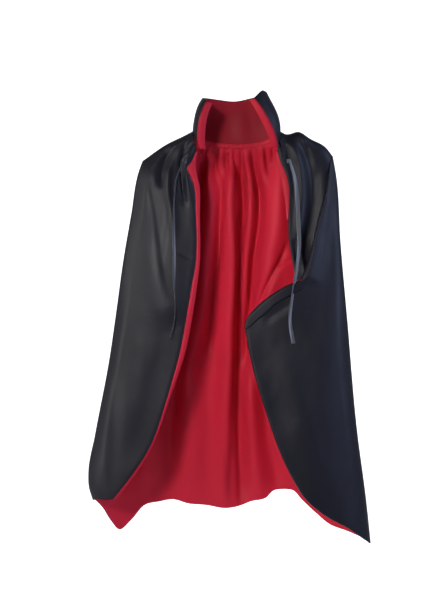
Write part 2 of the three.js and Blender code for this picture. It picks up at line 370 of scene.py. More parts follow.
def bump(tree, texture, strength, depth):
    node = add_node(tree, "ShaderNodeBump", Strength=strength, Distance=depth)
    link(tree, texture, "Fac", node, "Height")
    return node


def satin(name, colour, lift, roughness, specular):
    """Satin: fine diagonal weave and soft creases in its bump, and slow changes of tone and gloss.

    The weave follows the cloth's own UV map, and the creases and tone follow its place."""
    tree, shader = new_material(name)
    set_inputs(shader, Specular_IOR_Level=specular, Anisotropic=0.35)
    uv = tree.nodes.new("ShaderNodeUVMap")
    uv.uv_map = "cloth"
    tangent = tree.nodes.new("ShaderNodeTangent")
    tangent.direction_type = "UV_MAP"
    tangent.uv_map = "cloth"
    link(tree, tangent, "Tangent", shader, "Tangent")
    place = tree.nodes.new("ShaderNodeTexCoord")

    tone = add_node(tree, "ShaderNodeTexNoise", Scale=5.0, Detail=3.0, Roughness=0.55)
    link(tree, place, "Object", tone, "Vector")
    tone_ramp(tree, shader, tone, colour, [min(1, c * lift) for c in colour], (0.3, 0.72))

    streaks = add_node(tree, "ShaderNodeMapping", Scale=STREAKS)
    link(tree, uv, "UV", streaks, "Vector")
    streak = add_node(tree, "ShaderNodeTexNoise", Scale=1.0, Detail=4.0, Roughness=0.6)
    link(tree, streaks, "Vector", streak, "Vector")
    gloss = add_node(tree, "ShaderNodeMapRange", From_Min=0.3, From_Max=0.7)
    set_inputs(gloss, To_Min=roughness - 0.05, To_Max=roughness + 0.07)
    link(tree, streak, "Fac", gloss, "Value")
    link(tree, gloss, "Result", shader, "Roughness")

    creases = add_node(tree, "ShaderNodeTexNoise", Scale=26.0, Detail=4.0, Roughness=0.5, Distortion=0.6)
    link(tree, place, "Object", creases, "Vector")
    soft = bump(tree, creases, 0.55, CREASE_DEPTH)

    twill = add_node(tree, "ShaderNodeMapping", Rotation=(0.0, 0.0, TWILL_SLOPE))
    link(tree, uv, "UV", twill, "Vector")
    weave = add_node(tree, "ShaderNodeTexWave", Scale=500.0, Distortion=0.6, Detail=1.0)
    link(tree, twill, "Vector", weave, "Vector")
    thread = bump(tree, weave, 0.35, WEAVE_DEPTH)
    link(tree, soft, "Normal", thread, "Normal")
    link(tree, thread, "Normal", shader, "Normal")


def canvas(name, colour):
    """Stiff woven canvas: square weave bump and slightly uneven tone."""
    tree, shader = new_material(name)
    set_inputs(shader, Roughness=0.9)
    place = tree.nodes.new("ShaderNodeTexCoord")
    tone = add_node(tree, "ShaderNodeTexNoise", Scale=180.0, Detail=3.0)
    link(tree, place, "Object", tone, "Vector")
    tone_ramp(tree, shader, tone, [c * 0.8 for c in colour], colour, (0.0, 1.0))
    link(tree, bump(tree, tone, 0.5, 0.0002), "Normal", shader, "Normal")


# Each satin: its colour and the share of it, the lift of its tone, its roughness and specular level.
SATINS = {
    "outer_satin": ("outer", 1.0, 1.35, 0.46, 0.2),
    "lining_satin": ("lining", 1.0, 1.12, 0.5, 0.16),
    # The rolled lining strips are the lining satin at 0.72 of its colour: painted shade along the rolled
    # edges.
    "edge_satin": ("lining", 0.72, 1.1, 0.5, 0.12),
    # The collar's lining is the lining satin at half its colour: painted shade inside the collar.
    "collar_satin": ("lining", 0.5, 1.2, 0.55, 0.15),
    # The ties' satin takes the ribbon colour, which holds painted sheen.
    "ribbon_satin": ("ribbon", 1.0, 1.4, 0.3, 0.5),
}
CANVAS_COLOUR = (0.7, 0.68, 0.62)


def finish_named(name):
    """The cape's finishes, each made once."""
    if name in SATINS and name not in bpy.data.materials:
        source, share, *finish = SATINS[name]
        colour = getattr(bpy.context.scene.cape_colours, source)
        satin(name, tuple(share * value for value in colour), *finish)
    elif name not in bpy.data.materials:
        canvas(name, CANVAS_COLOUR)
    return bpy.data.materials[name]


def dress(piece, slot, *nodes):
    if nodes:
        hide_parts(*nodes)


# ---- Stage -----------------------------------------------------------------------------------------


def area_light(name, place, aim, size, power, colour, beam):
    light = bpy.data.lights.new(name, "AREA")
    light.shape = "RECTANGLE"
    light.size, light.size_y = size
    light.energy = power
    light.color = colour
    light.spread = np.radians(beam)
    lamp = bpy.data.objects.new(name, light)
    lamp.location = place
    lamp.rotation_euler = (Vector(aim) - Vector(place)).to_track_quat("-Z", "Y").to_euler()
    bpy.context.scene.collection.objects.link(lamp)


CAMERA_PLACE = (-0.033, -2.5, -0.337)
CAMERA_LENS = 69.1
FLOOR_DROP = 0.5
FLOOR_REACH = 30.0
MIDDLE = (-0.02, 0.0, -0.38)
# Each light: its place, what it points at, its width and height, watts, colour and beam in degrees.
LIGHTS = {
    "window_right": ((2.6, -0.9, 0.5), MIDDLE, (1.4, 2.2), 60, (0.54, 0.64, 1.0), 180),
    "soft_left": ((-2.7, -0.9, 0.0), MIDDLE, (1.4, 2.2), 56, (1.0, 0.99, 0.95), 180),
    "key": ((-1.2, -2.85, 0.5), (-0.02, 0.0, -0.34), (0.5, 0.5), 2.2, (1.0, 0.98, 0.95), 32),
    "behind": ((0.0, 2.6, 1.2), MIDDLE, (2.4, 1.6), 14, (1.0, 1.0, 1.0), 180),
}


def camera_level(tree, socket, others, camera):
    """Gives a strength one value where the camera sees it and another for the light it casts."""
    path = tree.nodes.new("ShaderNodeLightPath")
    level = add_node(tree, "ShaderNodeMapRange", To_Min=others, To_Max=camera)
    link(tree, path, "Is Camera Ray", level, "Value")
    tree.links.new(level.outputs["Result"], socket)


class CAPE_OT_stage(bpy.types.Operator):
    """Makes the camera, the pale floor and the soft studio light"""

    bl_idname = "cape.stage"
    bl_label = "Stage"

    def execute(self, context):
        scene = context.scene
        camera = bpy.data.objects.new("camera", bpy.data.cameras.new("camera"))
        camera.data.lens = CAMERA_LENS
        camera.location = CAMERA_PLACE
        camera.rotation_euler = (np.pi / 2, 0, 0)
        scene.collection.objects.link(camera)
        scene.camera = camera
        scene.view_settings.view_transform = "Standard"

        world = bpy.data.worlds.new("studio")
        world.use_nodes = True
        tree = world.node_tree
        background = tree.nodes["Background"]
        set_inputs(background, Color=(1, 1, 1, 1))
        camera_level(tree, background.inputs["Strength"], 0.10, 1.0)
        scene.world = world

        self.floor(CAD_BOX[0][2] - FLOOR_DROP)
        for name, values in LIGHTS.items():
            area_light(name, *values)
        return {"FINISHED"}

    def floor(self, height):
        """A pale floor that sweeps up behind into a wall, so the scene has no horizon."""
        turn = np.linspace(-np.pi / 2, 0, 33)
        back, radius, top = 2.0, 1.5, 5.0
        y = np.concatenate([[-FLOOR_REACH], back + radius * np.cos(turn), [back + radius]])
        z = height + np.concatenate([[0.0], radius + radius * np.sin(turn), [top]])
        profile = np.stack([np.zeros_like(y), y, z], axis=1)
        points = np.stack([profile - [FLOOR_REACH, 0, 0], profile + [FLOOR_REACH, 0, 0]])
        tree, shader = new_material("floor_paint")
        colour = (*bpy.context.scene.cape_colours.floor, 1)
        set_inputs(shader, Base_Color=colour, Roughness=0.9, Emission_Color=(1, 1, 1, 1))
        camera_level(tree, shader.inputs["Emission Strength"], 0.05, 0.95)
        sheet_object("floor", points, "floor_paint", (28, 20), 0)


# ---- Ribbon ties -----------------------------------------------------------------------------------

# The middle line of each ribbon from its sewn end: (x, z), millimetres.
TIE_ROUTE = {
    "left": [(-114, -40), (-131, -80), (-136, -130), (-137, -190), (-136, -250), (-136, -310),
             (-133, -360), (-136, -395), (-144, -428)],
    "right": [(112, -40), (125, -85), (130, -130), (132, -180), (133, -235), (126, -290),
              (118, -340), (113, -390), (120, -440)],
}
TIE_LIFT = 0.0065
# How far each ribbon is turned about its line, and where its slow sway starts, in radians.
TIE_TURN = {"left": (1.15, 0.4), "right": (0.5, 2.0)}
TIE_SWAY = 0.3
TIE_CLOTH = 0.0004
TIE_CUP = 0.0006
TIE_POINTS = 160
TACK_SIZE = (0.009, 0.009)
TACK_THREAD = 0.0006


def tie_line(side, count):
    """The ribbon's middle line: its route, lifted off the front cloth along the cloth's normal."""
    route = np.array(TIE_ROUTE[side], float) * MM
    lean = np.arctan(FRONT_LEAN)
    points = np.column_stack(
        [route[:, 0], front_y(route[:, 1]) - TIE_LIFT * np.cos(lean), route[:, 1] + TIE_LIFT * np.sin(lean)]
    )
    return line_through(points, np.linspace(0, 1, count))


class CAPE_OT_ribbons(bpy.types.Operator):
    """Makes the two ribbon ties and the stitched tacks that hold them"""

    bl_idname = "cape.ribbons"
    bl_label = "Ribbon ties"

    def execute(self, context):
        for side in SIDES:
            self.ribbon(context.scene.cape_sizes, side)
            self.tack(side)
        return {"FINISHED"}

    def ribbon(self, sizes, side):
        """A strip of the ribbon's width, carried along its line and turned slowly about it."""
        line = tie_line(side, TIE_POINTS)
        share = np.linspace(0, 1, TIE_POINTS)
        along = np.gradient(line, axis=0)
        along /= np.linalg.norm(along, axis=1)[:, None]
        rest, start = TIE_TURN[side]
        turn = rest + TIE_SWAY * np.sin(2.6 * np.pi * share + start)
        flat = np.stack([np.cos(turn), np.sin(turn), np.zeros(TIE_POINTS)], axis=1)
        flat -= along * np.sum(flat * along, axis=1)[:, None]
        flat /= np.linalg.norm(flat, axis=1)[:, None]
        front = np.cross(flat, along)
        across = np.linspace(-0.5, 0.5, 13)
        cup = TIE_CUP * (1 - (2 * across) ** 2)
        points = (
            line[None]
            + across[:, None, None] * sizes.ribbon_width * flat[None]
            + cup[:, None, None] * front[None]
        )
        size = (sizes.ribbon_width, 0.4)
        ribbon = sheet_object(side + "_ribbon", points, "ribbon_satin", size, TIE_CLOTH)
        dress(ribbon, "ribbon", side + "_tie")
        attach(ribbon, side + "_ribbon")

    def tack(self, side):
        """The sewn end: the ribbon's folded tip, pressed flat, with four rows of raised thread."""
        low, high = (np.array(corner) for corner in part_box(side + "_tie_tack"))
        s, t = np.meshgrid(np.linspace(0, 1, 49), np.linspace(0, 1, 49), indexing="ij")
        rim = np.minimum(np.minimum(s, 1 - s), np.minimum(t, 1 - t))
        stitches = 0.6 + 0.4 * np.abs(np.sin(9 * np.pi * s))
        rows = np.abs(np.sin(4 * np.pi * t)) ** 6 * (rim > 0.1) * stitches
        y = high[1] - (high[1] - low[1]) * rounded(rim, 0.12) - TACK_THREAD * rows
        x, z = low[0] + (high[0] - low[0]) * s, high[2] - (high[2] - low[2]) * t
        points = np.stack([x, y, z], axis=-1)
        tack = sheet_object(side + "_tack", points, "ribbon_satin", TACK_SIZE, TIE_CLOTH, True)
        dress(tack, "ribbon", side + "_tie_tack")
        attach(tack, side + "_front")


# ---- Fronts ------------------------------------------------------------------------------------------

# Visible edge of the outer cloth beside the opening, from the neck to the hem: (x, z).
LEFT_EDGE = [(-88, -22), (-97, -43), (-109, -61), (-102, -77), (-95, -95), (-89, -161), (-87, -211),
             (-89, -265), (-98, -317), (-109, -382), (-120, -446), (-149, -555), (-189, -666),
             (-234, -734), (-266, -774)]
# Inner edge of the turned strip, where the lining rolls out past the outer cloth.
LEFT_STRIP = [(-86, -24), (-90, -43), (-88, -70), (-82, -96), (-81, -161), (-80, -211), (-81, -265),
              (-87, -317), (-97, -382), (-109, -446), (-144, -555), (-186, -666), (-231, -736),
              (-263, -776)]
LEFT_HEM = [(-266, -774), (-287, -777), (-306, -778), (-317, -785)]
# Each fold: line, height, width on its left, width on its right, all in millimetres, and the share
# of the line over which it fades out at its ends.
LEFT_FOLDS = [
    ([(-140, 0), (-150, -30), (-161, -62), (-163, -110)], -8, 7, 12, 0.3),
    ([(-133, -5), (-141, -30), (-150, -60), (-150, -110), (-142, -165), (-139, -235)], 4, 10, 9, 0.3),
    ([(-108, 8), (-116, -25), (-122, -60), (-119, -100), (-113, -150)], -7, 7, 6, 0.3),
    ([(-104, 0), (-109, -30), (-114, -55), (-108, -95), (-99, -150)], 3, 6, 6, 0.3),
    ([(-192, -25), (-200, -60), (-192, -161), (-182, -243), (-166, -317), (-145, -376), (-130, -410)],
     8, 50, 40, 0.15),
    ([(-176, -20), (-186, -62), (-174, -161), (-163, -243), (-150, -317), (-133, -366)], -2, 16, 9, 0.25),
    ([(-140, -238), (-113, -250), (-93, -259)], -1.5, 4, 3, 0.3),
    ([(-240, -330), (-268, -480), (-281, -600), (-283, -700), (-278, -770)], 4, 16, 26, 0.3),
    ([(-262, -480), (-268, -600), (-270, -690), (-264, -765)], -4, 20, 12, 0.3),
    ([(-225, -250), (-235, -420), (-238, -560), (-232, -690)], 5, 55, 50, 0.3),
    ([(-150, -400), (-178, -520), (-210, -640), (-245, -735)], -4, 34, 30, 0.3),
]

RIGHT_UPPER_EDGE = [(88, -20), (94, -43), (107, -73), (112, -96), (113, -125), (111, -172),
                    (112, -212), (118, -250), (122, -272), (131, -306)]
RIGHT_STRIP = [(84, -22), (86, -45), (95, -72), (99, -96), (104, -130), (108, -172)]
# The overlapping fold from the shoulder, the turned band's upper edge and the front edge.
RIGHT_FOLD_EDGE = [(203, -44), (192, -107), (175, -172), (161, -232), (147, -278), (136, -304)]
RIGHT_BAND_EDGE = [(136, -304), (111, -313), (77, -333), (42, -361), (22, -386), (16, -405)]
RIGHT_EDGE = [(16, -405), (26, -461), (47, -543), (66, -602), (85, -657), (116, -725), (146, -772),
              (180, -802), (212, -822), (232, -833), (284, -872)]
RIGHT_HEM = [(284, -872), (290, -876), (294, -880)]
BAND_LOWER_EDGE = [(139, -321), (111, -337), (84, -352), (61, -373), (40, -390), (29, -400), (18, -409)]
RIGHT_UPPER_FOLDS = [
    ([(104, 8), (120, -12), (134, -45), (140, -90), (139, -140), (134, -190), (129, -230)], 8, 14, 9, 0.2),
    ([(112, 14), (140, -5), (158, -50), (164, -105), (160, -160), (149, -220), (142, -262)],
     -12, 20, 12, 0.2),
    ([(132, -215), (139, -252), (145, -280), (142, -305)], 7, 5, 6, 0.25),
    ([(123, -210), (129, -250), (134, -282)], -5, 5, 5, 0.3),
    ([(98, 10), (110, -28), (120, -75), (122, -130)], -5, 6, 6, 0.3),
    ([(130, 26), (150, 2), (166, -40), (170, -90)], 4, 10, 10, 0.35),
]
RIGHT_FOLDS = [
    ([(207, -52), (197, -110), (180, -175), (167, -235), (154, -285), (146, -314)], 7, 24, 6, 0.08),
    ([(214, -110), (206, -200), (190, -300), (170, -390), (160, -470)], -4, 30, 34, 0.3),
    ([(205, -330), (196, -450), (190, -560), (200, -700)], 4, 34, 40, 0.35),
    ([(225, -180), (232, -330), (240, -480), (252, -640), (268, -780)], 4, 16, 26, 0.3),
    ([(60, -400), (96, -480), (126, -580), (165, -690), (215, -790)], 4, 40, 36, 0.35),
    ([(36, -412), (60, -480), (88, -560), (118, -640)], -3, 20, 24, 0.3),
    ([(252, -610), (262, -636), (270, -660)], 2.5, 5, 5, 0.35),
    ([(120, -352), (80, -376), (52, -398)], -2.5, 9, 12, 0.3),
]


FRONT_SET = 0.001
FRONT_SWELL = 0.0014
GATHER_REACH = 0.05
CALM_TOP, CALM_SIDE = 0.02, 0.03


def front_sheet(side, xz, s, folds, gather_count, seed, sizes, inward=0.0):
    """A front cloth's points from its (x, z) patch.

    Its depth is the front plane's plus the inward distance, rounded off towards the shoulder line
    and the side, less the relief: the folds, the gathers at the neck and a slow swell."""
    x, z = xz[..., 0], xz[..., 1]
    below, inside = edge_distances(side, x, z, SHOULDER_LINE[side][0][1] * MM)
    roll = rounded(below, sizes.roll) * rounded(inside, sizes.turn)
    neck = np.array(SHOULDER_LINE[side][0]) * MM
    down = np.hypot(x - neck[0], z - neck[1] + 0.02)
    relief = all_folds(x, z, folds)
    pleats = gathers(s[:, None] + 0 * x, down, gather_count, GATHER_REACH, seed)
    relief += 1.2 * sizes.gather_depth * pleats + FRONT_SWELL * crumple(x, z, seed)
    calm = eased(below / CALM_TOP) * eased(inside / CALM_SIDE)
    y = (front_y(z) + FRONT_SET + inward) * roll - relief * calm
    return np.stack([x, y, z], axis=-1)


def denser_out(count):
    """Shares from 0 to 1 that lie closer together towards 1."""
    return 1 - (1 - np.linspace(0, 1, count)) ** 1.8


def curled_edge(points, width, depth):
    """Presses the sheet's first edge back by depth over width, so the edge turns inwards."""
    edge = points[0][None]
    reach = np.linalg.norm((points - edge)[..., [0, 2]], axis=-1)
    points[..., 1] += depth * (1 - rounded(reach, width))
    return points


def hinge_line(side):
    """A point of the front's hinge line, and the direction square to it towards the opening."""
    joint = next(j for j in frame["joints"] if j["name"] == side + "_front_swing")
    place = np.array(joint["pos_m"])
    axis = np.array(joint["axis"]) / np.linalg.norm(joint["axis"])
    inward = np.array([1.0 if side == "left" else -1.0, 0.0, 0.0])
    inward -= axis * inward.dot(axis)
    return place, inward / np.linalg.norm(inward)


def swing_with_front(piece, side):
    """Bakes the cloth's placement into its mesh. The front's hinge line is looked up, but nothing turns the
    cloth with it.
    """
    place, inward = hinge_line(side)
    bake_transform(piece)


FRONT_ROWS, FRONT_COLUMNS = 214, 210
LEFT_FLAT, UPPER_FLAT, MAIN_FLAT = (0.42, 0.85), (0.20, 0.34), (0.40, 0.92)
UPPER_MAP = (0.16, 0.32)
STRIP_CLOTH = 0.0005
STRIP_TUCK = 0.0012
# The turned band: its cloth and width, and the depth and width of the round along its two edges.
BAND_CLOTH, BAND_WIDTH = 0.0012, 0.02
BAND_TOP, BAND_FOOT = (0.005, 0.006), (0.0015, 0.002)
# How far the right front's cloths lie inward, and how the upper one sinks below a height.
UPPER_IN, MAIN_IN, BAND_IN = 0.004, -0.003, -0.006
SINK, SINK_FROM, SINK_OVER = 0.008, -0.16, 0.12
# How each front's edge curls in: over this width, by this depth.
CURLS = {"left": (0.012, 0.003), "upper": (0.014, 0.005), "main": (0.006, 0.007)}


def front_rows():
    """Shares down a front and the back, a little closer together towards the top."""
    return np.linspace(0, 1, FRONT_ROWS) ** 1.15


class CAPE_OT_left_front(bpy.types.Operator):
    """Makes the left front: outer satin, lining and the turned strip beside the opening"""

    bl_idname = "cape.left_front"
    bl_label = "Left front"

    def execute(self, context):
        sizes = context.scene.cape_sizes
        s, t = denser_out(FRONT_COLUMNS), front_rows()
        neck = drawn([LEFT_EDGE[0], (-93, 4), SHOULDER_LINE["left"][0]], s)
        xz = patch(drawn(LEFT_EDGE, t), outline("left", t), neck, drawn(LEFT_HEM, s), s, t)
        points = curled_edge(front_sheet("left", xz, s, LEFT_FOLDS, 4, 11, sizes), *CURLS["left"])
        outer = sheet_object("left_front_outer", points, "outer_satin", LEFT_FLAT, sizes.cloth)
        dress(outer, "black_satin", "left_front_shell", "left_side_shell", "left_shoulder_shell")
        swing_with_front(outer, "left")

        inside = offset(points, sizes.layer_gap, (0, 1, 0))[2:, 1:-1]
        name = "left_front_lining_cloth"
        lining = sheet_object(name, inside, "lining_satin", LEFT_FLAT, sizes.lining, True)
        dress(lining, "red_satin", "left_front_lining", "left_side_lining", "left_shoulder_lining")
        swing_with_front(lining, "left")

        strip = drawn(LEFT_STRIP, t)
        inner = np.column_stack([strip[:, 0], points[0, :, 1] + 0.001, strip[:, 1]])
        turned = turned_strip("left_front_strip", inner, points[0], 0.0028)
        dress(turned, "red_satin", "left_front_facing")
        swing_with_front(turned, "left")
        return {"FINISHED"}


def turned_strip(name, inner, outer, bulge, under=0.004):
    """A rolled strip between two edge lines, reaching on under the outer one.

    Across, it is half a sine wave as high as bulge, from the inner line over to the outer one."""
    across = np.linspace(0, 1, 15)
    reach = outer - inner
    width = np.linalg.norm(reach, axis=1)[:, None]
    beyond = reach * (1 + under / np.maximum(width, 0.002))
    swell = np.sin(np.pi * across)[:, None, None] * np.minimum(bulge, 0.45 * width)[None]
    points = inner[None] + across[:, None, None] * beyond[None] + swell * np.array([0, -1.0, 0])
    points[..., 1] += STRIP_TUCK * across[:, None]
    # The strip is the lining satin darkened as painted shade.
    return sheet_object(name, points, "edge_satin", (0.014, 0.85), STRIP_CLOTH, reach[0][0] > 0)


class CAPE_OT_right_front(bpy.types.Operator):
    """Makes the right front: the recessed upper cloth, the overlapping main cloth, their lining,
    the turned strip and the turned band"""

    bl_idname = "cape.right_front"
    bl_label = "Right front"

    def execute(self, context):
        sizes = context.scene.cape_sizes
        self.upper(sizes)
        self.main(sizes)
        return {"FINISHED"}

    def upper(self, sizes):
        s, t = np.linspace(0, 1, 150), np.linspace(0, 1, 170) ** 1.5
        edge = drawn(RIGHT_UPPER_EDGE, t)
        hidden = drawn([(x + 14, z) for x, z in [(197, -30), *RIGHT_FOLD_EDGE[1:]]], t)
        neck = [RIGHT_UPPER_EDGE[0], (91, 6), SHOULDER_LINE["right"][0]]
        top = joined_lines([neck, SHOULDER_LINE["right"]], s) * MM
        hidden = hidden + (1 - t)[:, None] ** 4 * (top[-1] - hidden[0])
        hem = line_through(np.array([edge[-1], (edge[-1] + hidden[-1]) / 2, hidden[-1]]), s)
        xz = patch(edge, hidden, top, hem, s, t)
        points = front_sheet("right", xz, s, RIGHT_UPPER_FOLDS, 4, 23, sizes, UPPER_IN)
        points[..., 1] += SINK * eased((SINK_FROM - points[..., 2]) / SINK_OVER)
        points = curled_edge(points, *CURLS["upper"])
        outer = sheet_object("right_front_upper", points, "outer_satin", UPPER_MAP, sizes.cloth, True)
        dress(outer, "black_satin", "right_shoulder_shell")
        swing_with_front(outer, "right")

        rolled = drawn(RIGHT_STRIP, np.linspace(0, 1, 60))
        at_height = (np.interp(-rolled[:, 1], -points[0, :, 2], points[0, :, k]) for k in range(3))
        matched = np.column_stack(list(at_height))
        inner = np.column_stack([rolled[:, 0], matched[:, 1] + 0.002, rolled[:, 1]])
        turned = turned_strip("right_front_strip", inner, matched, 0.0012)
        dress(turned, "red_satin")
        swing_with_front(turned, "right")

        inside = offset(points, sizes.layer_gap, (0, 1, 0))[2:, 1:-1]
        name = "right_front_upper_lining"
        lining = sheet_object(name, inside, "lining_satin", UPPER_MAP, sizes.lining)
        dress(lining, "red_satin", "right_shoulder_lining")
        swing_with_front(lining, "right")

    def main(self, sizes):
        s, t = denser_out(FRONT_COLUMNS), front_rows()
        edge = joined_lines([RIGHT_FOLD_EDGE, RIGHT_BAND_EDGE, RIGHT_EDGE], t) * MM
        top = drawn([RIGHT_FOLD_EDGE[0], (208, -35), SIDE_LINE["right"][0]], s)
        xz = patch(edge, drawn(SIDE_LINE["right"], t), top, drawn(RIGHT_HEM, s), s, t)
        points = front_sheet("right", xz, s, RIGHT_FOLDS, 2, 31, sizes, MAIN_IN)
        points = curled_edge(points, *CURLS["main"])
        outer = sheet_object("right_front_outer", points, "outer_satin", MAIN_FLAT, sizes.cloth, True)
        dress(outer, "black_satin", "right_front_shell", "right_side_shell")
        swing_with_front(outer, "right")

        inside = offset(points, sizes.layer_gap, (0, 1, 0))[1:, 3:]
        name = "right_front_lining_cloth"
        lining = sheet_object(name, inside, "lining_satin", MAIN_FLAT, sizes.lining)
        dress(lining, "red_satin", "right_front_lining", "right_side_lining")
        swing_with_front(lining, "right")
        self.band(sizes)

    def band(self, sizes):
        """The turned band: a strip on the main cloth, from its upper edge down to its lower one."""
        t = np.linspace(0, 1, 120)
        upper = drawn(RIGHT_BAND_EDGE, t)
        lower = drawn(BAND_LOWER_EDGE, t)
        s = np.linspace(0, 1, 24)
        xz = upper[None] + s[:, None, None] * (lower - upper)[None]
        points = front_sheet("right", xz, s, RIGHT_FOLDS, 2, 31, sizes, BAND_IN)
        for share, (depth, width) in ((s, BAND_TOP), (1 - s, BAND_FOOT)):
            points[..., 1] += depth * (1 - rounded(share * BAND_WIDTH, width))[:, None]
        band = sheet_object("right_front_band", points, "outer_satin", (0.022, 0.17), BAND_CLOTH)
        dress(band, "black_satin", "right_front_facing")
        swing_with_front(band, "right")


# ---- Back --------------------------------------------------------------------------------------------

NECK_BACK_LINE = [(-96, 26), (-91, 19), (-74, 9), (-40, 5), (0, 4), (40, 5), (72, 9), (88, 19), (92, 27)]
BACK_HEM_LINE = [(-317, -785), (-300, -812), (-283, -845), (-266, -866), (-240, -846), (-207, -812),
                 (-178, -806), (-143, -801), (-111, -810), (-68, -814), (-24, -821), (8, -816), (36, -805),
                 (67, -797), (83, -782), (105, -778), (127, -779), (150, -802), (182, -832), (214, -857),
                 (251, -868), (294, -880)]
BACK_FOLDS = [
    ([(-14, -20), (-15, -77), (-15, -133), (-12, -189), (-8, -256), (-8, -323), (-13, -391), (-16, -481),
      (-21, -572), (-23, -664), (-29, -756), (-27, -825)], 23, 10, 26, 0.08),
    ([(0, -20), (6, -66), (13, -133), (9, -189), (6, -256), (3, -323), (3, -391), (2, -481), (2, -572),
      (4, -664), (7, -740), (9, -825)], -27, 24, 7, 0.08),
    ([(26, -30), (30, -77), (30, -133), (26, -189), (20, -256), (19, -323), (19, -400)], 18, 9, 9, 0.2),
    ([(44, -30), (50, -77), (53, -133), (48, -189), (39, -256), (32, -323), (25, -413), (22, -520)],
     -23, 14, 9, 0.15),
    ([(74, -30), (84, -77), (92, -133), (88, -189), (76, -256), (70, -323), (60, -400)], 14, 24, 20, 0.2),
    ([(-55, -30), (-58, -77), (-60, -133), (-64, -189), (-70, -256), (-74, -323), (-82, -391), (-103, -481),
      (-118, -572)], 15, 16, 16, 0.15),
    ([(-38, -20), (-36, -77), (-35, -133), (-37, -189), (-41, -256), (-50, -323), (-55, -391),
      (-66, -481)], -15, 8, 12, 0.15),
    ([(-107, -330), (-108, -391), (-106, -481), (-108, -572), (-101, -664), (-103, -756),
      (-112, -815)], 18, 34, 30, 0.2),
    ([(-132, -480), (-140, -572), (-150, -640), (-148, -720), (-138, -800)], -18, 16, 20, 0.25),
    ([(-190, -560), (-200, -640), (-206, -720), (-214, -800)], 14, 24, 24, 0.3),
    ([(116, -202), (98, -251), (78, -289), (57, -339), (46, -390)], -9, 9, 4, 0.25),
    ([(84, -268), (104, -262), (124, -256)], -4, 3, 5, 0.3),
    ([(58, -500), (64, -572), (74, -664), (92, -756), (104, -800)], -19, 18, 22, 0.2),
    ([(28, -500), (31, -572), (37, -664), (48, -756), (56, -810)], 12, 16, 16, 0.25),
    ([(128, -560), (140, -660), (165, -760), (190, -830)], 15, 24, 24, 0.3),
    ([(-72, -10), (-76, -60), (-86, -133), (-92, -220), (-98, -300)], -12, 9, 12, 0.2),
    ([(120, -60), (132, -160), (140, -280), (150, -400)], -12, 18, 22, 0.3),
]


# Pleats sewn into the neck seam: place along it, half width, length and drift outwards, and depth.
NECK_PLEATS = [
    (-80, 4, 60, -0.10, 9), (-68, 5, 85, -0.12, 12), (-55, 4, 50, -0.05, 10), (-43, 5, 95, -0.08, 14),
    (-24, 6, 110, 0.02, 13), (-6, 4, 60, 0.05, 11), (9, 4, 80, 0.05, 12), (33, 6, 100, 0.10, 15),
    (46, 5, 60, 0.05, 12), (62, 6, 90, 0.15, 13), (78, 4, 60, 0.10, 9),
]
# The gather depth that the table's depths are given for, and how much deeper they are sewn.
PLEAT_GATHER, PLEAT_DEEPER = 0.0032, 1.89
PLEAT_SPREAD = 0.85
BACK_FLAT = (0.85, 0.83)
BACK_COLUMNS = 232
BACK_SWELL = 0.0022
# Near the collar the cloth is drawn to its seam: how far below it and out from the middle, over what
# distance that ends, and how far behind the seam it lies.
SEAM_REACH, SEAM_HALF, SEAM_ENDS, SEAM_BEHIND = 0.028, 0.1, 0.01, 0.0015
# The folds flatten by this share from this height down, over this distance.
HEM_FLATTER, HEM_FROM, HEM_OVER = 0.35, -0.55, 0.2


def neck_pleats(x, down):
    """Depth of the pleats: each is exp(-(d / width)^2) across, with d the distance from its line.

    Its width grows and its depth dies out with exp(-(down / length)^2) below the seam."""
    total = 0
    for place, width, length, drift, depth in NECK_PLEATS:
        line = place * MM + drift * down
        spread = PLEAT_SPREAD * width * MM + 0.08 * down
        total += depth * MM * np.exp(-(((x - line) / spread) ** 2) - (down / (length * MM)) ** 2)
    return total * (0.15 + 0.85 * eased(down / 0.014))


